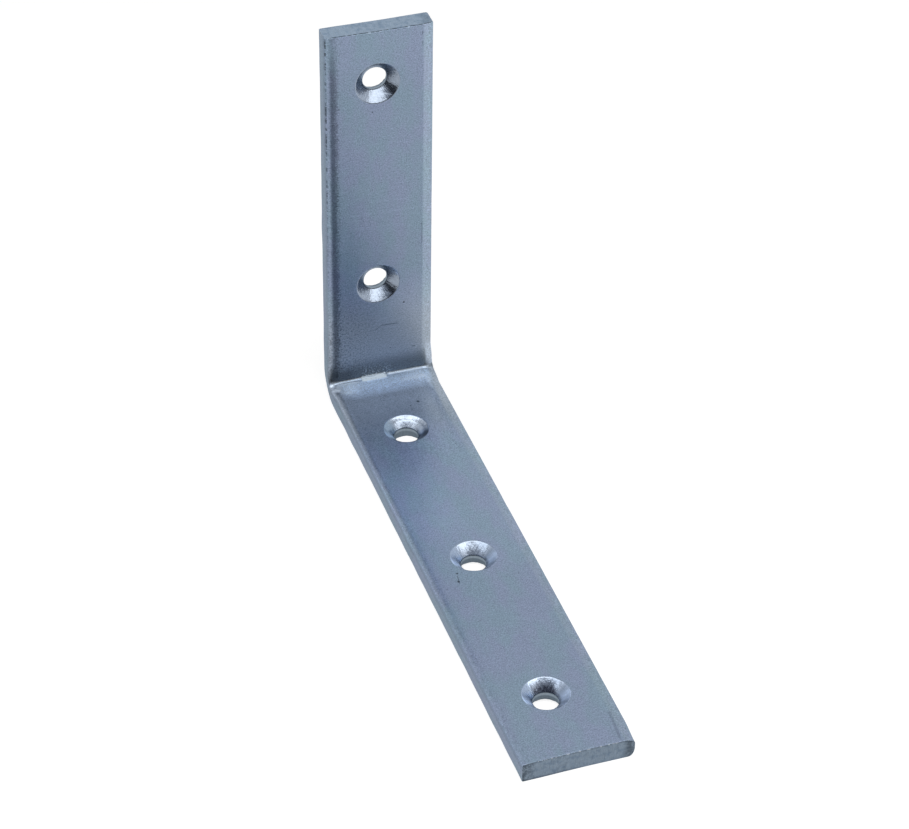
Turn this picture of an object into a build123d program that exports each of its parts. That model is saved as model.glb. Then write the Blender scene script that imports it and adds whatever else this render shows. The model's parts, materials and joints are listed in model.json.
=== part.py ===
from build123d import *

import os
from math import radians, sqrt, tan

# Angle bracket: one flat steel bar, cropped to length, punched, countersunk and bent square.
#
# The long leg lies along -Y and rests on z = 0. The short leg stands up +Z, with its outer face
# at y = 0. The width runs along X. The origin is the heel: the square outer corner, mid width,
# where the planes of the two outer faces meet.

# Bar stock
bar_width = 25.0
bar_thickness = 5.0
shoulder_width = 2.1
shoulder_drop = 0.5
right_edge_radius = 1.0
left_edge_radius = 0.4

# Legs, measured over the outside from the heel
short_leg = 101.0
long_leg = 142.5

# Bend: a rounded heel outside, a sharp crease inside that opens out across the shoulders
heel_radius = 6.5
crease_radius = 0.4
shoulder_crease_radius = 3.0

# Metal squeezed out sideways by the inside of the bend, centred a little into the open corner
bulge_height = 0.5
bulge_offset = 1.5
bulge_margin = 0.3
bulge_clearance = 0.5

# Round groove that the bending blade pressed beside the crease, short of both sides
blade_mark_inset = 1.1
blade_mark_width = 1.2
blade_mark_depth = 0.25
blade_mark_setback = 0.3

# Nib: the ramp of metal that a notch in the blade left standing
nib_width = 6.2
nib_centre_x = -1.9
nib_length = 1.8
nib_height = 0.3

# Screw holes: the first from the heel, the last from its leg's own end, all on one line
short_leg_first_hole = 32.0
short_leg_end_distance = 13.5
long_leg_first_hole = 26.5
long_leg_end_distance = 19.0
middle_hole_offset = 0.5
hole_line_x = -0.5

# Hole section: rounded rim, countersink, straight land, flare torn out by the punch
bore_diameter = 5.8
bore_land = 0.8
exit_flare = 0.65
countersink_diameter = 10.45
countersink_angle = 90.0
rim_radius = 0.3

# Sketches and cutting tools reach this far past the faces they cut
reach = 20.0

# Worked out from the sizes above
half_width = bar_width / 2
flat_half_width = half_width - shoulder_width
short_leg_last_hole = short_leg - short_leg_end_distance
long_leg_last_hole = long_leg - long_leg_end_distance
long_leg_middle_hole = (long_leg_first_hole + long_leg_last_hole) / 2 + middle_hole_offset
short_leg_holes = (short_leg_first_hole, short_leg_last_hole)
long_leg_holes = (long_leg_first_hole, long_leg_middle_hole, long_leg_last_hole)


def leg_outline():
    """Side view of the bent bar in the YZ plane: a sharp inner crease and a rounded heel."""
    t = bar_thickness
    corners = [(0, 0), (-long_leg, 0), (-long_leg, t), (-t, t), (-t, short_leg), (0, short_leg)]
    outline = Plane.YZ * make_face(Polyline(*corners, close=True))
    heel = outline.vertices().sort_by_distance((0, 0, 0))[0]
    outline = fillet(heel, heel_radius)
    crease = outline.vertices().sort_by_distance((0, -t, t))[0]
    return fillet(crease, crease_radius)


def outer_edges(blank, side):
    """The long edges between one side and the outer faces, round the heel as well."""
    heel_mid = heel_radius * (1 - sqrt(0.5))
    spots = [
        (side * half_width, -long_leg / 2, 0),
        (side * half_width, -heel_mid, heel_mid),
        (side * half_width, 0, short_leg / 2),
    ]
    return [blank.edges().sort_by_distance(spot)[0] for spot in spots]


def bulge(side):
    """The low dome on one side of the bend, kept to the leg outline and clear of the outer edges."""
    centre = bar_thickness + bulge_offset
    foot_radius = centre - max(left_edge_radius, right_edge_radius) - bulge_margin
    dome_radius = (foot_radius**2 + bulge_height**2) / (2 * bulge_height)
    across = side * (half_width + bulge_height - dome_radius)
    dome = Pos(across, -centre, centre) * Sphere(dome_radius)
    side_face = Pos(side * half_width, 0, 0) * leg_outline()
    return dome & extrude(side_face, amount=side * bulge_height)


def open_corner(x, drop, radius):
    """The empty quarter inside the bend, seen from the side, let into both inner faces by drop."""
    y = -bar_thickness + drop
    z = bar_thickness - drop
    far_y = -long_leg - reach
    far_z = short_leg + reach
    quarter = Polyline((y, far_z), (y, z), (far_y, z), (far_y, far_z), close=True)
    face = Plane.YZ.offset(x) * make_face(quarter)
    corner = face.vertices().sort_by_distance((x, y, z))[0]
    return fillet(corner, radius)


def shoulder_cutter(side):
    """Takes the inner faces' long edge down to a shallow slope whose crease opens out sideways."""
    slope = shoulder_drop / shoulder_width
    outer_x = half_width + bulge_height + bulge_clearance
    outer_drop = slope * (outer_x - flat_half_width)
    inner_face = open_corner(side * flat_half_width, 0, crease_radius)
    outer_face = open_corner(side * outer_x, outer_drop, shoulder_crease_radius)
    return loft([inner_face, outer_face], ruled=True)


def blade_mark():
    """The pressed groove in the long leg's inner face, in two runs with the nib between them."""
    groove_radius = (blade_mark_width**2 / 4 + blade_mark_depth**2) / (2 * blade_mark_depth)
    along = -bar_thickness - blade_mark_setback - blade_mark_width / 2
    up = bar_thickness - blade_mark_depth + groove_radius
    nib_left = nib_centre_x - nib_width / 2
    nib_right = nib_centre_x + nib_width / 2
    blade_half_length = half_width - blade_mark_inset
    runs = []
    for start, end in ((-blade_half_length, nib_left), (nib_right, blade_half_length)):
        across = (start + end) / 2
        runs.append(Pos(across, along, up) * Rot(0, 90, 0) * Cylinder(groove_radius, end - start))
    return runs


def nib():
    """The ramp between the two runs of the groove, highest at the crease."""
    back = -bar_thickness + crease_radius
    front = -bar_thickness - nib_length
    sunk = bar_thickness - crease_radius
    top = bar_thickness + nib_height
    ramp = Polyline(
        (back, sunk), (back, top), (-bar_thickness, top), (front, bar_thickness), (front, sunk), close=True
    )
    side_view = Plane.YZ.offset(nib_centre_x - nib_width / 2) * make_face(ramp)
    return extrude(side_view, amount=nib_width)


def screw_hole_cutter():
    """Punched and countersunk hole, its axis along Z and the bar's inner face at z = 0.

    From the inner face down: a rounded rim, the countersink, a short straight land and the
    flare that the punch tears out towards the outer face.
    """
    cone_slope = tan(radians(countersink_angle / 2))
    bore = bore_diameter / 2
    sharp_rim = countersink_diameter / 2
    cone_depth = (sharp_rim - bore) / cone_slope
    land_depth = cone_depth + bore_land
    flare_slope = exit_flare / (bar_thickness - land_depth)
    lowest = -bar_thickness - reach
    lowest_radius = bore + exit_flare + flare_slope * reach
    rim_reach = rim_radius * tan(radians(countersink_angle / 4))
    down_cone = Vector(-cone_slope, -1).normalized() * rim_reach
    rim_start = (sharp_rim + rim_reach, 0)
    rim_end = (sharp_rim + down_cone.X, down_cone.Y)
    profile = (
        Polyline((0, lowest), (0, reach), (rim_start[0], reach), rim_start)
        + TangentArc(rim_start, rim_end, tangent=(-1, 0))
        + Polyline(rim_end, (bore, -cone_depth), (bore, -land_depth), (lowest_radius, lowest), (0, lowest))
    )
    return revolve(Plane.XZ * make_face(profile), Axis.Z)


def bracket():
    """The finished bracket: bent blank, rounded edges, bulged bend, shoulders and screw holes."""
    half_blank = extrude(leg_outline(), amount=half_width)
    blank = half_blank + mirror(half_blank, Plane.YZ)
    for side, radius in ((-1, left_edge_radius), (1, right_edge_radius)):
        blank = fillet(outer_edges(blank, side), radius)
    for side in (-1, 1):
        blank += bulge(side)
        blank -= shoulder_cutter(side)
    blank -= blade_mark()
    blank += nib()
    for along in long_leg_holes:
        blank -= Pos(hole_line_x, -along, bar_thickness) * screw_hole_cutter()
    for up in short_leg_holes:
        blank -= Pos(hole_line_x, -bar_thickness, up) * Rot(90, 0, 0) * screw_hole_cutter()
    return blank


os.makedirs("parts", exist_ok=True)
angle_bracket = bracket()
angle_bracket.label = "angle_bracket"
export_step(angle_bracket, "parts/angle_bracket.step")
print("angle_bracket", angle_bracket.bounding_box(), "volume", round(angle_bracket.volume, 1))
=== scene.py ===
# %% [markdown]
# # Angle bracket
# A real bracket of this kind is one flat steel bar. It is cropped to length, punched, countersunk,
# bent square over a blade and then zinc plated, so every mark on it tells of one of those steps.
# The CAD model gives the exact size. Here the same bar is modelled finely enough to show its rolled
# shoulders, tool marks, burrs and the blade's mark, and it gets a finish for each way that it was cut.

# %% Load the frame
import json
import math

import bmesh
import bpy
import numpy as np
from mathutils import Matrix, Vector


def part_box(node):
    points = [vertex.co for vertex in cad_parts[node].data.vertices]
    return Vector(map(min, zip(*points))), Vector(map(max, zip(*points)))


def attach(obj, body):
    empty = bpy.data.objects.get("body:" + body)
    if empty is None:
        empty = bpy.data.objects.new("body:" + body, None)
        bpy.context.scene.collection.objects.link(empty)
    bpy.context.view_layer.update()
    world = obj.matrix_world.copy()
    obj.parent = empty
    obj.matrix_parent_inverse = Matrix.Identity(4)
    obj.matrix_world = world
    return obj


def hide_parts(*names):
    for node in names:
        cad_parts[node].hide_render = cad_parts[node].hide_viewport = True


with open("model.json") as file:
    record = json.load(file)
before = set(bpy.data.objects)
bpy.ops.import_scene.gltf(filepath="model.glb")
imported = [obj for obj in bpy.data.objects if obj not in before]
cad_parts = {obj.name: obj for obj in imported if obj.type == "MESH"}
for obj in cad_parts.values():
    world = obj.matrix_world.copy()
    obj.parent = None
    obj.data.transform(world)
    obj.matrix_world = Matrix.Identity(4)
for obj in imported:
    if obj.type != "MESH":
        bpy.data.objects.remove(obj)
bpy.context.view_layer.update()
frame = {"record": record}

# %% [markdown]
# ## Sizes
# Whatever the frame knows is read from it: how far the legs reach, where the inner faces are and
# where the screw holes sit. The rest are the sizes of the bar's section, its bend and its holes.
# Everything below works in millimetres, because that is how a maker speaks of such a part.

# %% Sizes
mm = 0.001
mounts = {mount["name"]: mount for mount in frame["record"]["mounts"]}
middle_screw = mounts["long_leg_middle_screw"]
lowest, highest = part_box("angle_bracket")
long_leg = -lowest.y / mm
short_leg = highest.z / mm
thickness = mounts["long_leg_inner_face"]["pos_m"][2] / mm
half_width = 12.5
shoulder_width = 2.1
shoulder_drop = 0.45
corner_radius = 0.2
heel_radius = 6.5
crease_radius = 0.4
shoulder_crease_radius = 2.2

hole_line = middle_screw["pos_m"][0] / mm
bore_radius = middle_screw["dims"]["r_mm"]
sharp_rim_radius = 5.225
rim_rounding = 0.3
land_length = middle_screw["dims"]["length_mm"]
exit_radius = 3.55


def pattern_ends(mount, axis):
    """The two ends of a pattern of two screws, measured from the heel."""
    middle = abs(mount["pos_m"][axis]) / mm
    half_spacing = mount["dims"]["spacing_y_mm"] / 2
    return middle - half_spacing, middle + half_spacing


long_ends = pattern_ends(mounts["long_leg_screws"], 1)
short_ends = pattern_ends(mounts["short_leg_screws"], 2)
long_middle = -middle_screw["pos_m"][1] / mm
print("legs", long_leg, short_leg, "holes", long_ends, long_middle, short_ends)

# %% [markdown]
# ## The flat bar and its bend
# The bar is easiest to shape while it is still flat. A point on it is given by how far it lies
# across the bar, how far along from the crease and how deep below the inner face. A last step bends
# all points at once. The inside of a bend is short and the outside long, so two paths are worked
# out, one along the inner and one along the outer face, and each point is carried between them.

# %% Bend
long_end = thickness - long_leg
short_end = short_leg - thickness
bend_reach = 7.5
bend_crowding = 1.4
outer_half_path = bend_reach + thickness - heel_radius * (1 - math.pi / 4)


def corner_path(distance, corner, radius):
    """(y, z) at a distance along a face that turns the corner on an arc; below zero is the long leg."""
    half_arc = radius * math.pi / 4
    turned = math.pi / 4 - np.minimum(abs(distance), half_arc) / radius
    straight = np.maximum(abs(distance) - half_arc, 0)
    y = -(corner + radius) + radius * np.sin(turned) - straight
    z = corner + radius - radius * np.cos(turned)
    on_long_leg = distance < 0
    return np.where(on_long_leg, y, -z), np.where(on_long_leg, z, -y)


def bent(across, along, depth):
    """Carries points of the flat bar to the bent one, in millimetres."""
    reach = abs(along)
    side = np.where(along < 0, -1.0, 1.0)
    outwards = np.clip((abs(across) - half_width + shoulder_width) / shoulder_width, 0, 1)
    radius = crease_radius + (shoulder_crease_radius - crease_radius) * outwards
    inner = np.where(reach < radius, reach * math.pi / 4, reach - radius * (1 - math.pi / 4))
    in_bend = outer_half_path * (np.minimum(reach, bend_reach) / bend_reach) ** (1 / bend_crowding)
    outer = in_bend + np.maximum(reach - bend_reach, 0)
    inner_y, inner_z = corner_path(side * inner, thickness, radius)
    outer_y, outer_z = corner_path(side * outer, 0.0, heel_radius)
    share = depth / thickness
    y = inner_y + (outer_y - inner_y) * share
    z = inner_z + (outer_z - inner_z) * share
    return np.stack([across, y, z], axis=-1)


print("inner and outer face at the crease:", bent(np.zeros(2), np.zeros(2), np.array([0, thickness])))

# %% [markdown]
# ## The bar's section
# Hot rolling leaves the inner face's long edges as low crowned shoulders: nearly level where they
# leave the face, then falling away to a small corner. Those shoulders matter for the look, because
# their inner part mirrors the other leg and turns dark while their outer part mirrors the room. The
# outline is one closed loop of points, with as many points above as below so that it can be filled.

# %% Section
corner_steps = 4
shoulder_steps = 8
margin_steps = 6
patch_steps = 24
side_steps = 8
left_arc_steps = 5
right_arc_steps = 8
patch_size = 13.2
patch_left = hole_line - patch_size / 2
patch_right = hole_line + patch_size / 2
flat_half_width = half_width - shoulder_width
crown_shares = (0.55, 0.45)


def crown(outwards):
    """How deep a shoulder lies, from 0 at the flat face to 1 at the corner."""
    return shoulder_drop * (crown_shares[0] * outwards**2 + crown_shares[1] * outwards**6)


steepest = shoulder_drop * (2 * crown_shares[0] + 6 * crown_shares[1]) / shoulder_width
corner_tilt = math.atan(steepest)
shoulder_end = half_width - corner_radius * (1 - math.sin(corner_tilt))
corner_depth = crown((shoulder_end - flat_half_width) / shoulder_width)


def top_half(side, margin_edge, steps):
    """One side of the inner face from its corner inwards to the patches for the holes."""
    tilt = np.linspace(math.pi / 2, corner_tilt, corner_steps + 1)
    centre_x = half_width - corner_radius
    centre_depth = corner_depth + corner_radius * math.cos(corner_tilt)
    corner_x = centre_x + corner_radius * np.sin(tilt)
    corner = np.stack([corner_x, centre_depth - corner_radius * np.cos(tilt)], 1)
    x = np.linspace(shoulder_end, flat_half_width, shoulder_steps + 1)[1:]
    shoulder = np.stack([x, crown((x - flat_half_width) / shoulder_width)], 1)
    x = np.linspace(flat_half_width, side * margin_edge, steps + 1)[1:]
    margin = np.stack([x, np.zeros(steps)], 1)
    return np.concatenate([corner, shoulder, margin]) * (side, 1)


def bottom_half(side, edge, margin_edge, arc_steps, total_steps):
    """One side of the outer face from its rounded edge inwards to the patches for the holes."""
    turn = np.linspace(0, math.pi / 2, arc_steps + 1)
    arc_x = half_width - edge[0] + edge[0] * np.cos(turn)
    arc = np.stack([arc_x, thickness - edge[1] + edge[1] * np.sin(turn)], 1)
    steps = total_steps - arc_steps
    x = np.linspace(half_width - edge[0], side * margin_edge, steps + 1)[1:]
    margin = np.stack([x, np.full(steps, thickness)], 1)
    return np.concatenate([arc, margin]) * (side, 1)


def joined(start, end, steps):
    """The points strictly between two others."""
    return np.linspace(start, end, steps + 1)[1:-1]


def section(right_edge, left_edge):
    """The outline: over the inner face from left to right, then back under the outer face."""
    left_top = top_half(-1, patch_left, margin_steps)
    right_top = top_half(1, patch_right, margin_steps + 2)[::-1]
    top = np.concatenate([left_top, joined(left_top[-1], right_top[0], patch_steps), right_top])
    left_low = bottom_half(-1, left_edge, patch_left, left_arc_steps, patch_start)
    right_low = bottom_half(1, right_edge, patch_right, right_arc_steps, patch_start + 2)[::-1]
    low = np.concatenate([left_low, joined(left_low[-1], right_low[0], patch_steps), right_low])[::-1]
    right = joined(top[-1], low[0], side_steps)
    left = joined(low[-1], top[0], side_steps)
    return np.concatenate([top, right, low, left])


patch_start = corner_steps + shoulder_steps + margin_steps
top_count = 2 * patch_start + 2 + patch_steps + 1
loop_count = 2 * top_count + 2 * (side_steps - 1)
print("points in one outline:", len(section((1, 1), (0.4, 0.4))), "expected", loop_count)

# %% [markdown]
# ## Stations along the bar
# The outline is repeated at stations from the long leg's end to the short leg's. They lie close
# together in the bend and at the cropped ends, where the shape changes quickly. Each hole needs a
# square patch of even steps that can be swapped for a round one.

# %% Stations
plain_step = 0.85
bend_steps = 40
end_rows = (0.0, 0.03, 0.08, 0.16, 0.3, 0.55)
hole_places = [thickness - place for place in (long_ends[1], long_middle, long_ends[0])]
hole_places += [place - thickness for place in short_ends]


def between(start, end, step):
    """Even steps from start up to, but without, end."""
    return np.linspace(start, end, max(2, round((end - start) / step)) + 1)[:-1]


def run_with_patches(start, end, places):
    """Stations of one straight run, with even patches at its holes."""
    stops = []
    for place in places:
        stops.append(between(start, place - patch_size / 2, plain_step))
        stops.append(between(place - patch_size / 2, place + patch_size / 2, patch_size / patch_steps))
        start = place + patch_size / 2
    stops.append(between(start, end, plain_step))
    return np.concatenate(stops)


long_rows = long_end + np.array(end_rows)
short_rows = short_end - np.array(end_rows)[::-1]
through_bend = np.linspace(-1, 1, 2 * bend_steps + 1)[:-1]
bend_stations = bend_reach * np.sign(through_bend) * abs(through_bend) ** bend_crowding
stations = np.concatenate([
    long_rows,
    run_with_patches(long_rows[-1] + 0.4, -bend_reach, hole_places[:3]),
    bend_stations,
    run_with_patches(bend_reach, short_rows[0] - 0.4, hole_places[3:]),
    short_rows,
])
print(len(stations), "stations from", stations[0], "to", stations[-1])

# %% [markdown]
# ## Collecting points and faces
# All points are kept as flat bar coordinates in one long list, and faces as rows of four point
# numbers with the name of the surface that they belong to. Two neighbouring rows of points are
# always joined by the same small function, whether they run across the bar or round a hole.

# %% Collector
ROLLED, MACHINED, PUNCHED, SHEARED = range(4)
points = []
quads = []
quad_zones = []
point_total = 0


def add_points(across, along, depth):
    """Adds points given in bar coordinates and returns their numbers in the same layout."""
    global point_total
    across, along, depth = np.broadcast_arrays(across, along, depth)
    numbers = point_total + np.arange(across.size).reshape(across.shape)
    points.append(np.stack([across, along, depth], axis=-1).reshape(-1, 3).astype(float))
    point_total += across.size
    return numbers


def join_rows(first, second, zone, closed=True, keep=None):
    """Quads between two rows of point numbers."""
    if closed:
        first, second = np.append(first, first[0]), np.append(second, second[0])
    rows = np.stack([first[:-1], first[1:], second[1:], second[:-1]], axis=1)
    if keep is not None:
        rows = rows[keep]
    quads.append(rows)
    quad_zones.append(np.full(len(rows), zone))


# %% [markdown]
# ## The skin of the bar
# The right outer edge is tight at the top and grows rounder towards the long leg's end, where the
# crop pulled it down. Each station's outline takes the edges that it needs. A cropped end also has
# a slightly broken edge all round, so the last outlines shrink a little.

# %% Skin
edge_break = 0.1
edge_places = (long_end, 0.75 * long_end, 0.0, short_end)
right_edge_sizes = ((1.3, 1.0, 1.0, 0.5), (2.3, 1.3, 1.0, 0.5))
left_edge_size = 0.4


def outline_at(along):
    """The section at one station, broken at the cropped ends."""
    right_edge = [np.interp(along, edge_places, sizes) for sizes in right_edge_sizes]
    loop = section(right_edge, (left_edge_size, left_edge_size))
    from_end = min(along - long_end, short_end - along)
    if from_end < edge_break:
        ahead = np.roll(loop, -1, axis=0) - np.roll(loop, 1, axis=0)
        inwards = np.stack([-ahead[:, 1], ahead[:, 0]], 1)
        inwards /= np.linalg.norm(inwards, axis=1)[:, None]
        shrink = edge_break - math.sqrt(edge_break**2 - (edge_break - from_end) ** 2)
        loop = loop + inwards * shrink
    return loop


loops = np.array([outline_at(along) for along in stations])
skin = add_points(loops[:, :, 0], stations[:, None], loops[:, :, 1])
patch_columns = np.arange(patch_start, patch_start + patch_steps)
low_start = top_count + side_steps - 1
low_patch_columns = low_start + (top_count - 1) - patch_columns - 1
patch_rows = [int(np.argmin(abs(stations - place + patch_size / 2))) for place in hole_places]
for row in range(len(stations) - 1):
    keep = np.ones(loop_count, bool)
    if any(start <= row < start + patch_steps for start in patch_rows):
        keep[patch_columns] = False
        keep[low_patch_columns] = False
    join_rows(skin[row], skin[row + 1], ROLLED, keep=keep)
print("skin:", skin.size, "points,", sum(len(rows) for rows in quads), "faces")

# %% [markdown]
# ## The cropped ends
# Each end is filled with a grid whose border is the outline itself. Every inner point is blended
# from the four sides of the border, which gives an even net to press the marks of the crop into.

# %% Ends


def four_sides(loop):
    """The top, right, low and left of an outline, each starting from the top or the left."""
    top = loop[:top_count]
    right = np.concatenate([top[-1:], loop[top_count:low_start + 1]])
    low = loop[low_start:low_start + top_count][::-1]
    left = np.concatenate([loop[low_start + top_count - 1:], top[:1]])[::-1]
    return top, right, low, left


def fill_end(loop, along, border):
    """A net of quads inside one end's outline."""
    top, right, low, left = four_sides(loop)
    u = np.linspace(0, 1, top_count)[None, :, None]
    v = np.linspace(0, 1, side_steps + 1)[:, None, None]
    net = (1 - v) * top[None] + v * low[None] + (1 - u) * left[:, None] + u * right[:, None]
    net -= (1 - u) * ((1 - v) * top[0] + v * low[0]) + u * ((1 - v) * top[-1] + v * low[-1])
    inner = add_points(net[1:-1, 1:-1, 0], along, net[1:-1, 1:-1, 1])
    numbers = np.empty((side_steps + 1, top_count), int)
    numbers[0], numbers[:, -1], numbers[-1], numbers[:, 0] = four_sides(border)
    numbers[1:-1, 1:-1] = inner
    for row in range(side_steps):
        join_rows(numbers[row], numbers[row + 1], SHEARED, closed=False)


fill_end(loops[0], long_end, skin[0])
fill_end(loops[-1], short_end, skin[-1])
print("with the ends:", point_total, "points")

# %% [markdown]
# ## The screw holes
# Each square patch gives way to rings that start on the square and end on the hole's rim. A boolean
# cut would be quicker to write, but it leaves thin slivers round the rim that shade badly. The rings
# then follow the hole's own profile: a rounded rim, the machined cone, the short land that the punch
# sheared clean, and the flare where the slug broke out at the back. The cone is crowned by less than
# a tenth of a millimetre, which is enough to spread what it mirrors from dark to bright.

# %% Hole profile
rim_rings, cone_rings, land_rings, flare_rings = 4, 22, 5, 9
rim_start = sharp_rim_radius + rim_rounding * math.tan(math.pi / 8)
rim_turn = np.linspace(0, math.pi / 4, rim_rings + 1)
rim = np.stack([rim_start - rim_rounding * np.sin(rim_turn), rim_rounding * (1 - np.cos(rim_turn))], 1)
cone_crown = 0.05
cone_foot = np.array([bore_radius, sharp_rim_radius - bore_radius])
cone = np.linspace(rim[-1], cone_foot, cone_rings + 1)[1:]
down_cone = np.linspace(0, 1, cone_rings + 1)[1:, None]
cone -= 4 * cone_crown * down_cone * (1 - down_cone) * math.sqrt(0.5)
land_foot = cone_foot + (0, land_length)
land = np.linspace(cone_foot, land_foot, land_rings + 1)[1:]
exit_edge = np.array([exit_radius, thickness])
exit_break = 0.12
flare_end = exit_edge - (0.35 * exit_break, exit_break)
flare = np.linspace(land_foot, flare_end, flare_rings + 1)[1:]
exit_lip = exit_edge + ((0.25 * exit_break, 0.0),)
print("cone from radius", rim[-1], "to", cone_foot, "land to", land_foot)

# %% Cut the holes
upper_shares = (0.3, 0.55, 0.78, 0.93, 1.0)
lower_shares = (0.3, 0.6, 0.85)
around = 4 * patch_steps
angles = -0.75 * math.pi + 2 * math.pi * np.arange(around) / around
round_ring = np.stack([np.cos(angles), np.sin(angles)], 1)


def square_border(row, first, last):
    """The numbers of the points round a patch, in order, from one of its corners."""
    columns = np.linspace(first, last, patch_steps + 1).astype(int)
    square = skin[row:row + patch_steps + 1, columns]
    return np.concatenate([square[0, :-1], square[:-1, -1], square[-1, :0:-1], square[:0:-1, 0]])


def circle(place, radius):
    """Even points round a hole, starting at the corner where a patch's border starts."""
    return (hole_line, place) + radius * round_ring


def flatten_to_circle(border, place, radius, depth, shares):
    """Rings of points between the patch's border and a circle; returns them with the border first."""
    corners = np.concatenate(points)[border, :2]
    rings = [border]
    for share in shares:
        spots = corners * (1 - share) + circle(place, radius) * share
        rings.append(add_points(*spots.T, depth))
    return rings


def cut_hole(place, row):
    """Swaps the two patches at one place for the walls of a screw hole."""
    upper = square_border(row, patch_start, patch_start + patch_steps)
    low_last = low_start + top_count - 1 - patch_start
    lower = square_border(row, low_last, low_last - patch_steps)
    rings = flatten_to_circle(upper, place, rim[0, 0], 0.0, upper_shares)
    zones = [ROLLED] * len(upper_shares)
    turned = np.concatenate([rim[1:], cone])
    punched = np.concatenate([land, flare, exit_lip])
    for radius, depth in np.concatenate([turned, punched]):
        rings.append(add_points(*circle(place, radius).T, depth))
    zones += [MACHINED] * len(turned) + [PUNCHED] * len(punched)
    lower_rings = flatten_to_circle(lower, place, exit_lip[0, 0], thickness, lower_shares)
    rings += lower_rings[::-1]
    zones += [ROLLED] * len(lower_rings)
    for first, second, zone in zip(rings, rings[1:], zones):
        join_rows(first, second, zone)


for place, row in zip(hole_places, patch_rows):
    cut_hole(place, row)
print("with the holes:", point_total, "points")

# %% [markdown]
# ## Marks of the making
# Marks are small moves of the finished net. A few helpers describe them: a smooth step, a bump
# between two limits, and a ripple made of waves in chosen directions, whose phases come from a
# seeded generator so that each run gives the same bar.

# %% Shape helpers
bar = np.concatenate(points)
across, along, depth = bar.T.copy()


def smooth_step(value, start, end):
    """0 before start, 1 after end and a soft rise between."""
    share = np.clip((value - start) / (end - start), 0, 1)
    return share * share * (3 - 2 * share)


def inside(value, low, high, soft):
    """1 between two limits, fading over soft outside them."""
    return smooth_step(value, low - soft, low) * (1 - smooth_step(value, high, high + soft))


def ripple(first, second, wavelength, seed, waves=14):
    """Smooth noise between about -1 and 1, as a sum of waves of about one wavelength."""
    draw = np.random.default_rng(seed)
    total = np.zeros_like(first)
    for _ in range(waves):
        angle = draw.uniform(0, 2 * math.pi)
        number = 2 * math.pi / (wavelength * draw.uniform(0.7, 1.6))
        phase = draw.uniform(0, 2 * math.pi)
        total += np.sin(number * (first * math.cos(angle) + second * math.sin(angle)) + phase)
    return total / math.sqrt(waves)


inner_face = 1 - smooth_step(depth, 0.3, 1.2)
outer_face = smooth_step(depth, thickness - 1.2, thickness - 0.3)
side_face = smooth_step(abs(across), half_width - 0.6, half_width - 0.1)
print("moved later: inner", int((inner_face > 0.5).sum()), "outer", int((outer_face > 0.5).sum()))

# %% [markdown]
# ## The blade's mark
# The bar was bent over a narrow blade. Metal swelled up at the crease and sank a little beside it, in
# a band with rounded ends, and the blade pressed a thin groove right in the corner. A notch in it left
# a nib of metal standing in the middle. Each is a move in depth with its own outline. The band is what
# lights the bend: it tips towards the light that comes down past the short leg.

# %% Blade marks
blade_half_length = 11.3
groove_middle = -0.62
groove_half_width = 0.22
groove_depth = 0.1
nib_left, nib_right = -5.0, 1.2
nib_length = 1.9
nib_height = 0.5
nib_roughness = 0.05
trough_start, trough_bottom, trough_end = -0.5, -7.4, -45.0
trough_depth = 0.3
crease_swell = 0.2
trough_end_round = 3.0
nib_end_width = 0.06

near_crease = (1 - smooth_step(abs(along), 2.2, 4.5)) * inner_face
column_step = patch_size / patch_steps
for nib_side, nib_edge in ((-1, nib_left), (1, nib_right)):
    past = nib_side * (across - nib_edge)
    neighbour = (past > 0.1) & (past <= 0.1 + column_step)
    across += neighbour * near_crease * (nib_edge + nib_side * nib_end_width - across)
nib = inside(across, nib_left, nib_right, nib_end_width) * inner_face
blade = inside(across, -blade_half_length, blade_half_length, 0.35) * inner_face
groove_share = np.clip(1 - ((along - groove_middle) / groove_half_width) ** 2, 0, 1)
groove = groove_share * blade * (1 - nib)
nib_ramp = np.clip((along + nib_length) / nib_length, 0, 1) ** 1.2 * (1 - smooth_step(along, 0.3, 0.6))
past_end = np.maximum(abs(across) - (blade_half_length - trough_end_round), 0) / trough_end_round
into_trough = np.clip((along - trough_start) / (trough_bottom - trough_start), 0, 1)
out_of_trough = smooth_step(along, trough_bottom, trough_end)
round_ends = np.clip(1 - past_end**2, 0, 1)
eased_ends = round_ends**1.5
trough = np.sin(into_trough * math.pi / 2) * (1 - out_of_trough) * inner_face * eased_ends
rise = np.cos(into_trough * math.pi / 2) * (1 - smooth_step(along, 0.0, 0.5)) * inner_face
swollen = rise * eased_ends
pressed = rise * np.sqrt(round_ends) * (along < 0)
rough_top = nib_roughness * ripple(across, along, 0.45, seed=3) * nib * nib_ramp
depth += groove_depth * groove + trough_depth * trough - crease_swell * swollen
depth -= (nib_height * nib + rough_top) * nib_ramp
print("deepest mark", depth[inner_face > 0.99].max(), "mm, nib top", depth.min(), "mm")

# %% [markdown]
# ## Burrs, ripples and the bulge
# Cropping raises a thin uneven lip along the edges of the inner face. Rolling leaves the faces very
# slightly wavy, which no ruler finds but every reflection shows. Bending squeezes the inside of the
# bar out at the sides and draws the outside in.

# %% Burrs and ripples
burr_height = 0.05
burr_reach = 0.22
wave_height, short_wave_height, side_wave_height = 0.012, 0.004, 0.03
worn_length, extra_wear = 6.0, 0.9
extra_width = 0.24
out_of_square = 0.26
tear_depth = 0.05
flare_lean, first_flare_lean = 0.25, 0.4
first_holes = -40.0

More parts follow.
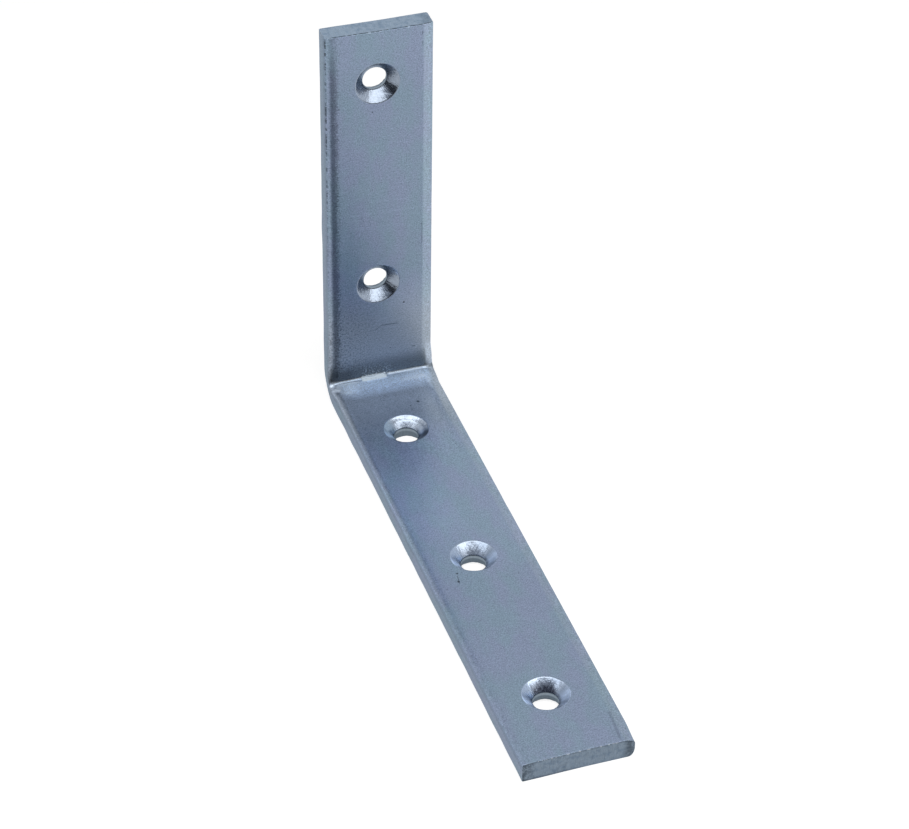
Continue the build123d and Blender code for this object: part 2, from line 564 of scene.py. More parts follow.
from_end = np.minimum(along - long_end, short_end - along)
lip = np.clip(0.1 + 0.8 * ripple(across, 0 * across, 1.1, seed=5), 0, 1.5)
burr = lip * (1 - smooth_step(from_end, 0.0, burr_reach)) * (depth < 0.6) * (1 - side_face)
depth -= burr_height * burr
waviness = wave_height * ripple(across, along, 9.0, seed=7)
waviness += short_wave_height * ripple(across, along, 2.4, seed=8)
depth += waviness * inner_face - abs(waviness) * outer_face
across += np.sign(across) * side_face * side_wave_height * ripple(along, depth, 7.0, seed=9)

worn_radius = corner_radius + extra_wear * (1 - smooth_step(along - long_end, 0.0, worn_length))
centre_across = half_width - worn_radius
centre_depth = corner_depth + worn_radius
from_centre = np.hypot(across - centre_across, depth - centre_depth)
worn = (across > centre_across) & (depth < centre_depth) & (from_centre > worn_radius)
shrink = np.where(worn, worn_radius / np.maximum(from_centre, 0.001), 1.0)
across += (centre_across - across) * (1 - shrink)
depth += (centre_depth - depth) * (1 - shrink)
print("points on the worn corner:", int(worn.sum()))

drawn_across = across.copy()
across += np.sign(across) * extra_width * smooth_step(abs(across), flat_half_width, half_width)
askew = smooth_step(-across, -4.0, half_width) * (1 - smooth_step(from_end, 0.0, 6.0))
along += np.sign(along) * out_of_square * askew

in_hole = np.zeros_like(across)
polar = np.zeros((len(across), 3))
for place in hole_places:
    out = np.hypot(across - hole_line, along - place)
    chosen = out < rim_start + 0.01
    in_hole[chosen] = 1
    turn = np.arctan2(along - place, across - hole_line)
    polar[chosen] = np.stack([np.cos(turn), np.sin(turn), out], 1)[chosen]
torn = in_hole * smooth_step(depth, land_foot[1] - 0.1, land_foot[1] + 0.6)
tear = tear_depth * ripple(polar[:, 0] * 8, polar[:, 1] * 8 + depth, 2.5, seed=11) * torn
across += polar[:, 0] * tear
along += polar[:, 1] * tear
lean = in_hole * np.clip((depth - land_foot[1]) / (thickness - land_foot[1]), 0, 1)
lean *= 1 - smooth_step(polar[:, 2], exit_radius + 0.3, rim_start)
on_short_leg = along > 0
across += flare_lean * lean * on_short_leg
along -= lean * np.where(on_short_leg, flare_lean, first_flare_lean * (along > first_holes))

# %% Bulge at the bend
bulge_height = 0.43
bulge_centre = thickness + 1.5
bulge_foot = 5.4
heel_pull = 0.16
pull_centre = 1.5
pull_foot = 7.0
side_band = 5.0
place_now = bent(across, along, depth)
outwards = smooth_step(abs(across), half_width - side_band, half_width)
spread = np.hypot(place_now[:, 1] + bulge_centre, place_now[:, 2] - bulge_centre)
dome = np.clip(1 - (spread / bulge_foot) ** 2, 0, 1) ** 1.5
heel_distance = np.hypot(place_now[:, 1] + pull_centre, place_now[:, 2] - pull_centre)
pull = np.clip(1 - (heel_distance / pull_foot) ** 2, 0, 1) ** 2
across += np.sign(across) * outwards * (bulge_height * dome - heel_pull * pull)
print("widest, mm:", across.min(), across.max())

# %% [markdown]
# ## One mesh
# The lists become a Blender mesh. Points that no face uses, under the swapped patches, are left
# out. The bar coordinates and the marks stay on the points as attributes, so the materials can
# follow the flat bar round the bend and wear the very places that the tools touched.

# %% Build the mesh
all_quads = np.concatenate(quads)
zones = np.concatenate(quad_zones)
used, compact = np.unique(all_quads, return_inverse=True)
compact = compact.reshape(all_quads.shape)
vertices = bent(across, along, depth)[used] * mm
mesh = bpy.data.meshes.new("angle_bracket_plated")
mesh.from_pydata(vertices.tolist(), [], compact.tolist())
mesh.polygons.foreach_set("material_index", zones.astype(np.int32))
mesh.polygons.foreach_set("use_smooth", np.ones(len(zones), bool))


def keep_attribute(name, values):
    """Stores a number or a vector for each point under a name that materials can read."""
    kind, field = ("FLOAT_VECTOR", "vector") if values.ndim > 1 else ("FLOAT", "value")
    layer = mesh.attributes.new(name, kind, "POINT")
    layer.data.foreach_set(field, values[used].astype(np.float32).ravel())


keep_attribute("bar", np.stack([drawn_across, along, depth], 1))
keep_attribute("polar", polar)
keep_attribute("pressed", pressed)
keep_attribute("nib_top", nib * nib_ramp)
keep_attribute("burr", np.clip(burr, 0, 1))

shell = bmesh.new()
shell.from_mesh(mesh)
bmesh.ops.recalc_face_normals(shell, faces=shell.faces)
open_edges = sum(1 for edge in shell.edges if len(edge.link_faces) != 2)
shell.to_mesh(mesh)
shell.free()


def placed(data, matrix=Matrix()):
    """Puts an object into the scene, named like its data, at a place and turn."""
    made = bpy.data.objects.new(data.name, data)
    made.matrix_world = matrix
    bpy.context.scene.collection.objects.link(made)
    return made


bracket = placed(mesh)
evener = bracket.modifiers.new("even_normals", "WEIGHTED_NORMAL")
evener.weight = 60
print("triangles:", 2 * len(mesh.polygons), "open edges:", open_edges)

# %% [markdown]
# ## Writing shader maths as Python
# A finish is a net of nodes, but a formula is easier to read. A Wire wraps one socket, and each
# operator on it adds the matching Math node. The mask used most is a fade, which says where a mark
# begins and ends. Every other node comes from Net.node, which takes the kind of node, its settings
# and what its sockets get.

# %% Wires and finishes


def operator(operation, swapped=False):
    """A method that adds one Math node; the reflected forms swap its two values."""

    def method(self, other):
        values = (other, self) if swapped else (self, other)
        return self.math(operation, *values)

    return method


class Wire:
    """One output socket that can be used in sums."""

    __add__ = __radd__ = operator("ADD")
    __sub__ = operator("SUBTRACT")
    __rsub__ = operator("SUBTRACT", swapped=True)
    __mul__ = __rmul__ = operator("MULTIPLY")
    __truediv__ = operator("DIVIDE")
    __pow__ = operator("POWER")

    def __init__(self, net, socket):
        self.net = net
        self.socket = socket

    def __abs__(self):
        return self.math("ABSOLUTE", self)

    def math(self, operation, *values):
        return self.net.node("ShaderNodeMath", {"operation": operation}, dict(enumerate(values)))

    def fade(self, start, end):
        """0 at start, 1 at end and a soft rise between; start may be the larger."""
        settings = {"interpolation_type": "SMOOTHSTEP"}
        return self.net.node("ShaderNodeMapRange", settings, {0: self, 1: start, 2: end})


class Net:
    """A node tree, with one method that adds any node to it."""

    def __init__(self, tree):
        self.tree = tree

    def node(self, kind, settings=None, inputs=None, output=0):
        """Adds a node: its settings first, then its sockets, by name or number."""
        made = self.tree.nodes.new(kind)
        for name, value in (settings or {}).items():
            setattr(made, name, value)
        for name, value in (inputs or {}).items():
            self.feed(made.inputs[name], value)
        return Wire(self, made.outputs[output])

    def feed(self, socket, value):
        """Links a wire to a socket, or sets the socket to a plain value."""
        if isinstance(value, Wire):
            self.tree.links.new(value.socket, socket)
        else:
            socket.default_value = (*value, 1.0) if socket.type == "RGBA" else value

    def parts(self, vector):
        """The three numbers of a vector."""
        split = self.node("ShaderNodeSeparateXYZ", {}, {0: vector}).socket.node
        return [Wire(self, socket) for socket in split.outputs]

    def blend(self, first, second, factor):
        """A colour between two others."""
        inputs = {0: factor, 6: first, 7: second}
        return self.node("ShaderNodeMix", {"data_type": "RGBA"}, inputs, output=2)


class Finish(Net):
    """A plated metal material and its net, with the tools that finishes share."""

    def __init__(self, name):
        self.material = bpy.data.materials.new(name)
        self.material.use_nodes = True
        super().__init__(self.material.node_tree)
        self.surface = self.tree.nodes["Principled BSDF"]
        self.set(Metallic=0.85, Specular_Tint=(0.62, 0.7, 0.8))

    def set(self, **values):
        """Feeds the shader's own sockets, with _ for a space in a name."""
        for name, value in values.items():
            self.feed(self.surface.inputs[name.replace("_", " ")], value)

    def attribute(self, name, output="Fac"):
        return self.node("ShaderNodeAttribute", {"attribute_name": name}, output=output)

    def noise(self, vector, scales, detail, roughness, shift=(0.0, 0.0, 0.0)):
        """Noise about zero; scales say how fine it is in each direction of the vector."""
        settings = {"operation": "MULTIPLY_ADD"}
        scaled = self.node("ShaderNodeVectorMath", settings, {0: vector, 1: scales, 2: shift})
        inputs = {"Vector": scaled, "Scale": 1.0, "Detail": detail, "Roughness": roughness}
        return self.node("ShaderNodeTexNoise", {}, inputs) - 0.5

    def shade(self, colour, amount):
        """A colour made lighter or darker by a number, keeping its hue."""
        inputs = {0: colour, "Scale": amount}
        return self.node("ShaderNodeVectorMath", {"operation": "SCALE"}, inputs)

    def bump(self, height, distance, **below):
        """A normal from a height; distance is the height's full size in metres."""
        return self.node("ShaderNodeBump", {}, {"Height": height, "Distance": distance, **below})


def put_on(material):
    """Gives the bracket its next finish, in the order of the zones."""
    mesh.materials.append(material)
    print(material.name, "has", len(material.node_tree.nodes), "nodes")


white = (1.0, 1.0, 1.0)
micron = 0.000001
print("zones to finish:", ROLLED, MACHINED, PUNCHED, SHEARED)

# %% [markdown]
# ## Zinc on rolled steel
# Bright zinc plating on rolled bar is a satin blue-grey. It drifts a little between lavender and
# teal where the chromate took unevenly, and carries the fine grain of the steel below and faint
# scratches from handling. The blade's band, the nib and the burrs are rubbed bright and matt, and
# their pale colour also holds painted reflection and painted highlights. Some tone is painted light
# and shade as well: at the shoulders, in the crease and where each leg lights the other. All
# places are in the flat bar's millimetres, x across it and s along it, so that a mark stays where it
# is round the bend. A painted image would have to be unwrapped and would blur close up, so all of it
# is noise and formulas. One class holds the noises and masks that all the marks share.

# %% Shared masks
steel_blue = (0.243, 0.316, 0.428)
lavender = (0.262, 0.308, 0.444)
teal = (0.236, 0.327, 0.414)
# painted shade for the crease corner
corner_shade_grey = (0.145, 0.172, 0.206)
# a painted tint of the light that the legs throw on each other
bend_bounce_grey = (0.264, 0.312, 0.388)
# pressed zinc with a painted reflection
pressed_reflection_blue = (0.44, 0.56, 0.74)
# rubbed zinc with painted highlights
rubbed_zinc_and_highlight = (0.63, 0.74, 0.9)
# rubbed nib metal with painted highlights
nib_highlight_grey = (0.6, 0.7, 0.8)


class Plating(Finish):
    """The zinc on rolled faces, with the noises and masks that its marks share."""

    def __init__(self):
        super().__init__("zinc_on_rolled_steel")
        self.place = self.attribute("bar", "Vector")
        self.x, self.s, self.below = self.parts(self.place)
        self.drift = self.noise(self.place, (0.16, 0.072, 0.16), 3, 0.55)
        self.cloud = self.noise(self.place, (0.7, 0.56, 0.7), 3, 0.6, (21.7, 4.9, 2.1))
        self.grain = self.noise(self.place, (2.3, 2.3, 2.3), 3, 0.65)
        self.fine = self.noise(self.place, (4, 3.2, 4), 1, 0.5)
        streaks = self.noise(self.place, (0.33, 1.1, 0.33), 3, 0.7)
        self.dashes = streaks.fade(-0.05, 0.06)
        self.inner = self.below.fade(1.2, 0.9)
        self.upper = self.below.fade(2, 0.8)
        self.shoulder = self.below.fade(1, 0.6) * self.x.fade(10.1, 10.7)

    def patch(self, across, along):
        """1 on the inner face where all the fades across and along the bar allow it."""
        mask = self.inner
        for start, end in across:
            mask *= self.x.fade(start, end)
        for start, end in along:
            mask *= self.s.fade(start, end)
        return mask

    def spot(self, centre, radius):
        """1 inside a small round mark on the inner face."""
        out = (abs(self.x - centre[0]) ** 2 + abs(self.s - centre[1]) ** 2) ** 0.5
        return out.fade(radius, 0.5 * radius) * self.inner

    def stroke(self, start, end, half):
        """1 along a thin straight mark between two places on the inner face."""
        run, rise = end[0] - start[0], end[1] - start[1]
        length = math.hypot(run, rise)
        right, up = self.x - start[0], self.s - start[1]
        from_middle = abs((right * run + up * rise) / length - length / 2)
        aside = abs(right * rise - up * run) / length
        ends = from_middle.fade(length / 2, length / 2 - min(0.8, length / 3))
        return aside.fade(half, 0.3 * half) * ends * self.inner


print("the zinc drifts from", lavender, "to", teal)

# %% [markdown]
# ### Marks on the plating
# A patch is lighter or darker by an amount, between fades across and along the bar; the three at
# the crease are painted light and painted shade. A speck is a round spot. A scratch runs from one
# place to another, with half its width and a strength that is below zero where it is dark; the dark
# one in the blade's groove is painted shade. The strokes at the crease are painted highlights on
# rubbed zinc.

# %% Places of the marks
patches = (
    (0.09, ((4, -2),), ((-68, -55), (-30, -42))),
    (-0.07, (), ((-66, -82),)),
    # painted light on the right shoulder above the crease
    (0.45, ((10.7, 11.5),), ((9, 3), (0, 0.8))),
    # painted shade in the crease's left corner
    (-0.3, ((-5.5, -8.5),), ((3.8, 2), (0, 0.3))),
    # painted shade dimming the highlight at the crease's right end
    (-0.35, ((10.6, 11.1),), ((-0.8, -0.4), (0.8, 0.4))),
)
specks = (
    ((5.8, 20.3), 0.32),
    ((-1.8, 75.1), 0.24),
    ((5.4, -12.3), 0.5),
    ((3.2, -13.4), 0.2),
    ((-6, -75.2), 0.32),
    ((-6.6, -78), 0.42),
)
scratches = (
    ((0.1, 14.7), (4.7, 14.5), 0.18, -0.5),
    ((-1.6, 13.4), (0.9, 15.2), 0.14, -0.4),
    ((7.7, 6.8), (8.9, 6.85), 0.22, -0.5),
    ((2.2, 7.6), (2.7, 7.6), 0.18, -0.5),
    ((10.4, -127.6), (9.6, -137), 0.45, -0.22),
    # painted shade in the blade's groove
    ((-11.3, -0.45), (-5.2, -0.75), 0.2, -0.5),
    ((-6.1, -75.4), (-6.7, -79.2), 0.12, -0.5),
    ((10.1, 93.3), (10.15, 94.6), 0.18, -0.45),
    ((10.15, 90.4), (10.2, 92), 0.16, -0.4),
    ((10.2, 36), (10.2, 43), 0.16, -0.3),
    ((-9, 44), (6, 43), 0.18, 0.1),
    ((-8, 47.5), (9, 46.8), 0.15, 0.12),
    ((-3, 50.6), (8.6, 49.8), 0.18, 0.1),
    ((3, 12.6), (9.4, 19), 0.14, 0.12),
    ((-7, -28), (4, -30), 0.15, 0.1),
    ((-2, -92), (9, -97), 0.15, 0.1),
)
crease_highlight_strokes = (
    # painted highlights on rubbed zinc: the lit crease line, the lit band below it and rubbed spots at
    # the left
    ((-11.7, -0.32), (-4.9, -0.32), 0.24, 0.6),
    ((1.2, -0.32), (10.5, -0.38), 0.34, 0.9),
    ((-11.3, -0.95), (-5.3, -1.35), 0.24, 0.6),
    ((-12.9, -0.55), (-11.1, -0.8), 0.5, 1),
    ((-12.3, -2.1), (-10.6, -3.5), 0.8, 1),
    ((-11.3, -4), (-8.3, -4.6), 0.7, 0.28),
    ((-12.3, -1.4), (-10.2, -1.9), 0.9, 0.55),
    ((3.6, -3.3), (9.8, -3.4), 0.9, 0.25),
    ((9.2, -2.4), (10.2, -4), 0.6, 0.5),
    ((10.2, -3.4), (10.3, -8.8), 0.55, 0.4),
)


def marks_tone(zinc):
    """How much lighter or darker the single marks make the zinc, with painted light and shade at the
    crease.
    """
    tone = 1
    for amount, across_fades, along_fades in patches:
        tone += amount * zinc.patch(across_fades, along_fades)
    for centre, radius in specks:
        tone *= 1 - 0.75 * zinc.spot(centre, radius)
    for start, end, half, strength in scratches:
        tone *= 1 + strength * zinc.stroke(start, end, half)
    return tone


print(len(patches), "patches,", len(specks), "specks,", len(scratches), "scratches")

# %% [markdown]
# ### Tone and colour of the plating
# Each function gives one factor of the zinc's tone. The scuffs are a noise pulled long in three
# directions, as handling leaves them. Near the crease the light that each leg throws on the other is
# painted. The right shoulder carries painted light, and the left shoulder and the band beside it
# painted shade. The sides carry the seam of the rolls, duller above it and warmer below.

# %% Tone of the zinc


def plain_tone(zinc):
    """Grain and cloud all over, the lighter upper leg, and three sets of scuffs."""
    tone = 1.03 + 0.2 * zinc.cloud + 0.75 * zinc.grain + 1.1 * zinc.fine
    tone *= 1 + 0.05 * zinc.s.fade(20, 60) + 0.05 * zinc.s.fade(80, 93)
    for turn, shift in ((0.35, 0), (-0.5, 40), (1.45, 90)):
        inputs = {"Vector": zinc.place, "Rotation": (0, 0, turn), "Scale": (0.16, 3.4, 1)}
        turned = zinc.node("ShaderNodeMapping", {}, inputs)
        scuff = zinc.noise(turned, white, 2, 0.5, (shift, 0, 0))
        tone *= 1 + 0.1 * scuff.fade(0.16, 0.26) - 0.12 * scuff.fade(-0.18, -0.26)
    return tone


def edge_tone(zinc):
    """Painted light on the right shoulder, painted shade on the left shoulder and the band beside it,
    and the left corner's dark dashes.
    """
    x, s, below = zinc.x, zinc.s, zinc.below
    # painted light on the right shoulder
    tone = 1 + (0.08 + 0.26 * s.fade(-4, 4)) * zinc.shoulder
    # painted shade on the long leg's left shoulder
    left_shoulder_shade = x.fade(-12.35, -12.15) * x.fade(-11.1, -11.6) * below.fade(0.9, 0.6)
    tone *= 1 - 0.19 * left_shoulder_shade * s.fade(-115, -20) * s.fade(0, -6)
    # painted shade in the upper leg's band beside the left shoulder
    ragged = x + 3.4 * zinc.grain + 1.2 * zinc.cloud
    left_band_shade = x.fade(-12, -11.2) * ragged.fade(-9.5, -10.8) * below.fade(1, 0.5)
    tone *= 1 - (0.2 + 0.28 * s.fade(95, 84)) * left_band_shade * s.fade(-0.5, 3)
    corner = x.fade(-12.2, -12.35) * below.fade(1.1, 0.85) * below.fade(0.12, 0.3)
    corner *= s.fade(10, 80) * s.fade(97, 95)
    return tone * (1 - 0.75 * corner * zinc.dashes)


def bend_tone(zinc):
    """Painted speckled highlights above the nib, a grainy darker patch at its left and the painted
    light that each leg throws on the other.
    """
    s, grain = zinc.s, zinc.grain
    # painted speckled highlights above the nib
    speckled_highlight = abs(zinc.x + 1).fade(4.2, 2.6) * zinc.patch((), ((4.2, 1), (0, 0.4)))
    tone = 1 + 1.1 * speckled_highlight * (grain + 0.3 * zinc.fine).fade(0, 0.1)
    # a grainy darker patch left of the nib
    left_dark_patch = zinc.patch(((2, -9),), ((30, 12), (0.5, 3)))
    tone *= 1 - 0.3 * left_dark_patch * grain.fade(0.02, -0.12)
    # painted light that each leg throws on the other
    lit = s.fade(32, 17) * s.fade(2, 7) * (1 - 0.2 * zinc.shoulder)
    lit += s.fade(-19, -9) * s.fade(-1, -4)
    return tone * (1 + 0.2 * lit * zinc.upper)


print("tone of the zinc: three factors and the marks")

# %% Colour of the zinc


def zinc_colour(zinc, pressed):
    """Drifts of lavender and teal, greyer at the bend as a painted tint of the light between the legs,
    painted shade in the crease corner, and paler where pressed: rubbed zinc with painted reflection.
    """
    x, s = zinc.x, zinc.s
    colour = zinc.blend(lavender, teal, zinc.drift.fade(-0.14, 0.14))
    colour = zinc.blend(colour, steel_blue, 0.3)
    # greyer near the bend: a painted tint of the light that the legs throw on each other
    colour = zinc.blend(colour, bend_bounce_grey, abs(s).fade(30, 12) * zinc.upper)
    # painted shade in the crease corner
    corner_shade_mask = s.fade(7, 2) * s.fade(-0.45, -0.1) * zinc.upper
    corner_shade_mask *= x.fade(-12.2, -11.9) * x.fade(11.3, 10.7)
    colour = zinc.blend(colour, corner_shade_grey, corner_shade_mask)
    # the pressed band: rubbed zinc with a painted reflection
    return zinc.blend(colour, pressed_reflection_blue, pressed * (1.05 + 0.4 * zinc.cloud))


def side_tint(zinc):
    """What the colour is multiplied by on the sides, above and below their seam, and on a shoulder."""
    below = zinc.below
    side = abs(zinc.x).fade(12.25, 12.4) * below.fade(0.6, 0.9) * below.fade(4.7, 4.4)
    seam_at = 1.65 + 0.5 * zinc.drift
    seam = abs(below - seam_at).fade(0.26, 0.08)
    above_seam = zinc.blend(white, (0.9, 0.885, 0.85), side)
    below_seam = zinc.blend(white, (1.14, 1.07, 0.98), side)
    tint = zinc.blend(above_seam, below_seam, below.fade(seam_at, seam_at + 0.25))
    tint = zinc.blend(tint, (1, 0.985, 0.94), zinc.shoulder)
    return zinc.shade(tint, 1 - 0.28 * side * seam * zinc.dashes)


def plated_face():
    """The plating on rolled faces, shoulders and sides."""
    zinc = Plating()
    cloud, grain = zinc.cloud, zinc.grain
    pressed = zinc.attribute("pressed")
    nib_top = zinc.attribute("nib_top")
    on_nib = nib_top.fade(0.06, 0.3)
    tone = plain_tone(zinc) * edge_tone(zinc) * bend_tone(zinc) * marks_tone(zinc)
    colour = zinc.shade(zinc_colour(zinc, pressed), tone)
    matt = 0.5 * on_nib + pressed * (0.42 + 0.4 * abs(zinc.x).fade(4, 9.5))
    # painted highlights on rubbed zinc along the crease and the band
    for start, end, half, strength in crease_highlight_strokes:
        shine = strength * zinc.stroke(start, end, half)
        colour = zinc.blend(colour, rubbed_zinc_and_highlight, shine * (0.85 + 1.2 * grain))
        matt += 0.6 * shine
    # the nib: rubbed metal, its speckle painted highlights
    colour = zinc.blend(colour, nib_highlight_grey, on_nib * (0.85 + 3 * grain))
    # the burrs: rubbed zinc with a painted highlight
    colour = zinc.blend(colour, rubbed_zinc_and_highlight, 0.7 * zinc.attribute("burr").fade(0.3, 0.75))
    tinted = {0: colour, 1: side_tint(zinc)}
    colour = zinc.node("ShaderNodeVectorMath", {"operation": "MULTIPLY"}, tinted)
    right_heel = zinc.patch(((11.2, 11.8),), ((-1.8, -0.8), (1.8, 0.8)))
    roughness = 0.31 + 0.12 * cloud + 0.1 * grain + 0.2 * nib_top
    roughness += 0.08 * abs(zinc.s).fade(16, 6) + 0.3 * right_heel
    normal = zinc.bump(0.5 * grain + 0.35 * zinc.fine + 0.15 * cloud, 14 * micron)
    zinc.set(Metallic=0.85 - 0.7 * matt.fade(0, 1))
    zinc.set(Base_Color=colour, Roughness=roughness, Normal=normal)
    return zinc.material


put_on(plated_face())

# %% [markdown]
# ## The turned countersink
# The cone was cut by a turning tool, so it carries fine rings and shines. It mirrors the room round
# about, and much of its tone and tint is painted reflection, given by the way that a place on it
# faces: rightwards, towards the crease, or down to the bore. Near the bore of the long leg's far
# holes a noisy dark patch is painted dark reflection, strongest at the last hole.

# %% Machined cone
# the flank blues are a painted tint of what the flanks mirror
cone_grey = (0.3, 0.352, 0.435)
flank_blue = (0.285, 0.345, 0.455)
far_flank_blue = (0.278, 0.345, 0.458)
first_flank_blue = (0.262, 0.35, 0.465)
# painted dark reflection near the bore
dark_reflection_grey = (0.036, 0.041, 0.06)


def machined_cone():
    """The countersink's turned cone."""
    cone = Finish("turned_countersink")
    round_place = cone.attribute("polar", "Vector")
    bar_place = cone.attribute("bar", "Vector")
    rings = cone.noise(round_place, (1.2, 1.2, 11), 2, 0.6)
    chatter = cone.noise(round_place, (8, 8, 1.2), 2, 0.5)
    grain = cone.noise(bar_place, (3.6, 3.6, 3.6), 2, 0.6)
    right, crease, out = cone.parts(round_place)
    _, s, _ = cone.parts(bar_place)
    long_leg = s.fade(-5, -15)
    first_hole = long_leg * s.fade(-40, -30)
    far_holes = s.fade(-40, -60)
    last_hole = s.fade(-90, -110)
    first_left = first_hole * right.fade(-0.35, -0.8)
    left_flank = far_holes * right.fade(-0.3, -0.75)
    side_flank = long_leg * crease.fade(0.5, 0.1)
    side_flank *= 1 - 0.75 * right.fade(0.6, 0.9) * s.fade(-50, -40)

    # tone by facing is painted reflection, on top of the turned rings, chatter and grain
    tone = 1 + 0.5 * rings + 0.5 * chatter + 0.4 * grain
    tone *= (1 + 0.02 * far_holes) * (1 + 0.3 * s.fade(-80, -110))
    tone *= 1 - (0.2 * far_holes + 0.18 * last_hole) * right.fade(0.3, 0.8)
    tone *= 1 + (0.17 - 0.24 * last_hole) * left_flank
    tone *= 1 + 0.9 * far_holes * right.fade(0.3, 0.6) * crease.fade(-0.25, -0.5)
    tone *= 1 - 0.35 * long_leg * crease.fade(-0.3, -0.7)
    tone *= 1 + 0.8 * long_leg * crease.fade(0.3, -0.25) * crease.fade(-0.5, -0.15)
    # painted shade at the cone's foot
    tone *= 1 - 0.45 * long_leg * crease.fade(0.6, 0.2) * out.fade(3.5, 3.1)
    upright = 0.25 * right.fade(-0.3, -0.8) - 0.15 * crease.fade(-0.2, -0.7)
    tone *= 1 + s.fade(5, 15) * upright
    # painted shade at the first hole's foot
    first_foot_shade = first_hole * out.fade(4.4, 3.4) * crease.fade(0.3, 0.8)
    tone *= (1 - 0.04 * first_left) * (1 - 0.22 * first_foot_shade)
    colour = cone.blend(cone_grey, flank_blue, side_flank)
    far_flanks = left_flank + 0.7 * far_holes * right.fade(0.3, 0.75)
    colour = cone.blend(colour, far_flank_blue, far_flanks)
    colour = cone.shade(cone.blend(colour, first_flank_blue, first_left), tone)

    # painted dark reflection near the bore of the far holes, with a noisy edge
    near_bore = (out + 3 * grain).fade(4.4 + last_hole, 3.5 + 0.4 * last_hole)
    beside = abs(right * out - 0.45) + 1.7 * grain
    torn = near_bore * beside.fade(3, 2.1) * crease.fade(0.2, 0.5) * s.fade(-40, -110)
    cover = 0.82 - 0.12 * last_hole + 0.8 * chatter + 1.2 * grain + 0.2 * out.fade(4.1, 3.5)
    colour = cone.blend(colour, dark_reflection_grey, torn * cover)
    roughness = 0.24 + 0.1 * chatter + 0.1 * grain + 0.3 * side_flank
    chattered = cone.bump(chatter + 0.15 * grain, 70 * micron)
    normal = cone.bump(rings, 8 * micron, Normal=chattered)
    cone.set(Metallic=1, Base_Color=colour, Roughness=roughness, Normal=normal)
    return cone.material


put_on(machined_cone())

# %% [markdown]
# ## Punched and cropped metal
# The bore was sheared by the punch and then torn, which leaves it grey and streaked along the hole.
# The cropped ends have the same two zones, only wider. The plating lies dull and blotched on them.
# A dark broken line under the burr and a darker right edge are painted shade, and a pale lip along
# the long end's burr is a painted highlight.

# %% Punched bore


def punched_bore():
    """The sheared and torn wall of a hole."""
    finish = Finish("punched_bore")
    round_place = finish.attribute("polar", "Vector")
    _, _, below = finish.parts(finish.attribute("bar", "Vector"))
    streaks = finish.noise(round_place, (11, 11, 0.5), 3, 0.6)
    torn = below.fade(3, 3.4)
    colour = finish.blend((0.275, 0.335, 0.395), (0.18, 0.225, 0.27), torn)
    colour = finish.shade(colour, (1 + 0.5 * streaks) * (1 - 0.6 * below.fade(2.62, 2.42)))
    normal = finish.bump(streaks, 40 * micron)
    finish.set(Base_Color=colour, Roughness=0.28 + 0.2 * torn, Normal=normal)
    return finish.material


put_on(punched_bore())

# %% Cropped end


def cropped_end():
    """The plated end faces that the shear left."""
    finish = Finish("cropped_end")
    bar_place = finish.attribute("bar", "Vector")
    x, s, below = finish.parts(bar_place)
    streaks = finish.noise(bar_place, (4.5, 1, 0.6), 3, 0.6)
    grain = finish.noise(bar_place, (4, 4, 4), 2, 0.6)
    blots = finish.noise(bar_place, (0.9, 0.9, 0.9), 3, 0.7, (4.5, 1.8, 8.1))
    low_end = s.fade(-100, -110)
    mottle = (blots + 0.4 * grain).fade(-0.04, 0.18)
    tone = (1.18 + 0.6 * streaks + 0.8 * grain - 0.27 * low_end) * (1 - 0.22 * mottle)
    # painted shade: a dark broken line under the burr lip
    dashes = finish.noise(bar_place, (1.5, 0.3, 0.3), 2, 0.6).fade(-0.12, 0.02)
    tone *= 1 - (0.72 - 0.52 * low_end) * below.fade(0.62, 0.3) * dashes
    # painted shade where the end face turns at its right edge, broken up by the blots
    right_edge = x.fade(9.8, 11.4) * (0.5 + 0.5 * blots.fade(-0.1, 0))
    left_patch = x.fade(-9, -12.3) * (blots + 0.3 * streaks).fade(-0.1, 0.05)
    tone *= (1 - (0.2 + 0.3 * low_end) * right_edge) * (1 - 0.55 * left_patch * low_end)
    tone *= 1 - 0.35 * below.fade(4.2, 4.8) * x.fade(4, -6) * low_end
    colour = finish.shade(finish.blend((0.248, 0.315, 0.398), (0.225, 0.305, 0.412), mottle), tone)
    # painted highlight on the long end's burr lip
    lip_highlight = below.fade(0.3, 0.12) * low_end * dashes.fade(0.7, 0.2)
    colour = finish.blend(colour, (0.75, 0.8, 0.86), 0.8 * lip_highlight)
    normal = finish.bump(streaks + 0.5 * grain, 30 * micron)
    finish.set(Base_Color=colour, Roughness=0.38 + 0.1 * grain, Normal=normal)
    return finish.material


put_on(cropped_end())

# %% [markdown]
# ## Floor
# The bracket was photographed on plain white. The floor is a large pale sheet that keeps a faint
# shadow. It glows where the camera looks, so it turns white without any more light on the bracket.

# %% Floor
floor_half = 0.6
floor_mesh = bpy.data.meshes.new("floor")
floor_corners = [(x * floor_half, y * floor_half, 0) for x, y in [(-1, -1), (1, -1), (1, 1), (-1, 1)]]
floor_mesh.from_pydata(floor_corners, [], [(0, 1, 2, 3)])
floor = placed(floor_mesh)


def ray_kinds(net, *kinds):
    """1 for rays of any of these kinds, such as what the camera sees itself or in a mirror."""
    shown = 0
    for kind in kinds:
        ray = net.node("ShaderNodeLightPath", output=kind)
        shown = ray.math("MAXIMUM", shown, ray)
    return shown


def pale_floor():
    """A white sheet that keeps the soft shadow of what stands on it."""
    finish = Finish("pale_floor")
    finish.set(Metallic=0, Base_Color=(0.42, 0.42, 0.42), Roughness=0.9)
    glow = 0.55 * ray_kinds(finish, "Is Camera Ray", "Is Glossy Ray", "Is Transmission Ray")
    glow += 0.21 * ray_kinds(finish, "Is Camera Ray")
    finish.set(Emission_Color=white, Emission_Strength=glow)
    return finish.material


floor_mesh.materials.append(pale_floor())
print("floor:", 2 * floor_half, "m square")

# %% [markdown]
# ## Room and lamp
# The world is white where the camera looks. In the metal it is white behind and above the bracket and
# dims towards the front, where a studio is dark behind the camera: without that the countersinks
# would have no dark side. One broad soft lamp above gives them their bright side.

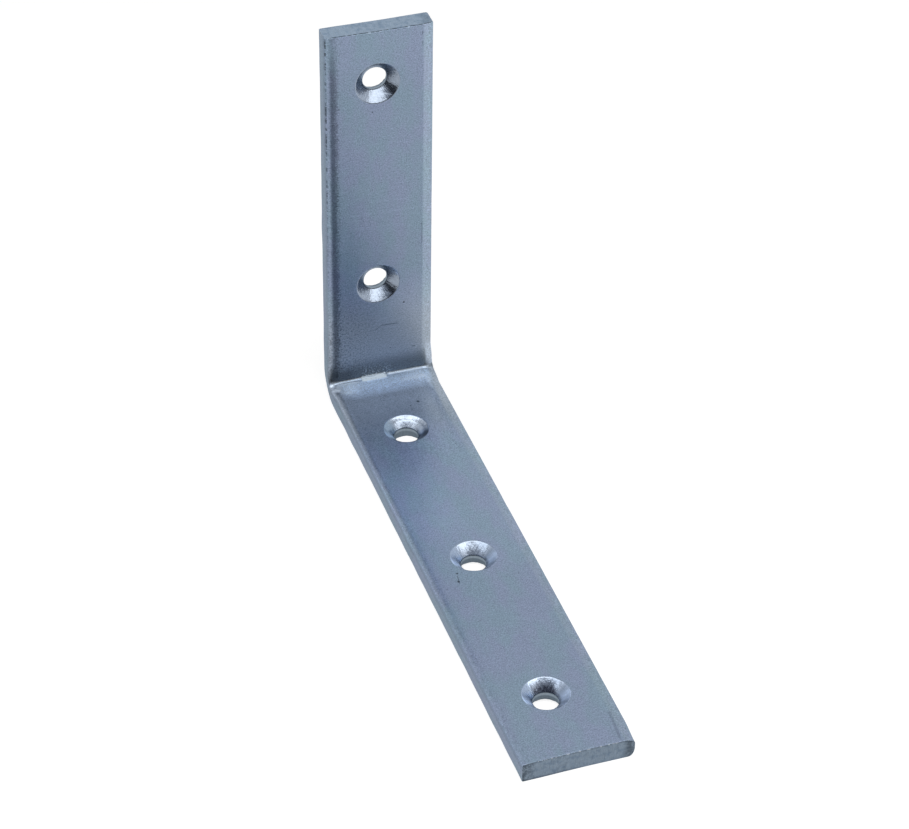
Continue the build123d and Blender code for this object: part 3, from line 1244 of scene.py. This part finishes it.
# %% World
world = bpy.data.worlds.new("white_room")
bpy.context.scene.world = world
world.use_nodes = True
room = Net(world.node_tree)
background = world.node_tree.nodes["Background"]
x, y, up = room.parts(room.node("ShaderNodeTexCoord"))
view_turn = math.radians(19.10)
ahead = math.sin(view_turn) * x + math.cos(view_turn) * y
dark_front = ahead.fade(-0.15, -0.65) * (0.42 + 0.56 * up.fade(0.58, 0.42))
level = (1 - dark_front * up.fade(0.9, 0.75)) * (1 - 0.15 * up.fade(0.62, 0.68))
seen = ray_kinds(room, "Is Camera Ray", "Is Transmission Ray")
mirrored = ray_kinds(room, "Is Glossy Ray")
spread_level = 0.25
strength = seen + (1 - seen) * (mirrored * level + (1 - mirrored) * spread_level)
room.feed(background.inputs["Strength"], strength)
front_blue = (0.80, 0.94, 1.20)
room.feed(background.inputs["Color"], room.blend(white, front_blue, dark_front * mirrored))
print("nodes of the room:", len(world.node_tree.nodes))

# %% Lamp
lamp_width, lamp_depth = 1.27, 0.342
lamp_radiance = 2.35
lamp_from_heel = Vector((0.115, -0.231, 0.48))
facing_view = Matrix.Rotation(-view_turn, 4, "Z")
lamp = bpy.data.lights.new("front_lamp", "AREA")
lamp.shape = "RECTANGLE"
lamp.size, lamp.size_y = lamp_width, lamp_depth
lamp.energy = lamp_radiance * math.pi * lamp_width * lamp_depth
lamp.color = (1.03, 1.0, 0.95)
placed(lamp, Matrix.Translation(facing_view @ lamp_from_heel) @ facing_view)
print("lamp:", round(lamp.energy, 2), "W")

# %% [markdown]
# ## Camera
# The place, the turn and the lens come from fitting the bracket's real edges to the photograph. The
# long lens keeps the far leg almost as large as the near one.

# %% Camera
camera_place = (-0.19732, -0.62940, 0.50153)
view_tilt = math.radians(37.83)
view_roll = math.radians(0.79)
camera_data = bpy.data.cameras.new("camera")
camera_data.sensor_width = 36.0
camera_data.lens = 135.42
tilted = facing_view @ Matrix.Rotation(math.pi / 2 - view_tilt, 4, "X")
rolled = tilted @ Matrix.Rotation(view_roll, 4, "Z")
bpy.context.scene.camera = placed(camera_data, Matrix.Translation(camera_place) @ rolled)
bpy.context.scene.view_settings.view_transform = "Standard"
print("camera at", camera_place, "with a lens of", camera_data.lens, "mm")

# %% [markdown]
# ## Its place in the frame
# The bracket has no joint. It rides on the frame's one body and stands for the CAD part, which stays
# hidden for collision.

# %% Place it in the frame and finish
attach(bracket, "root")
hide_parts("angle_bracket")
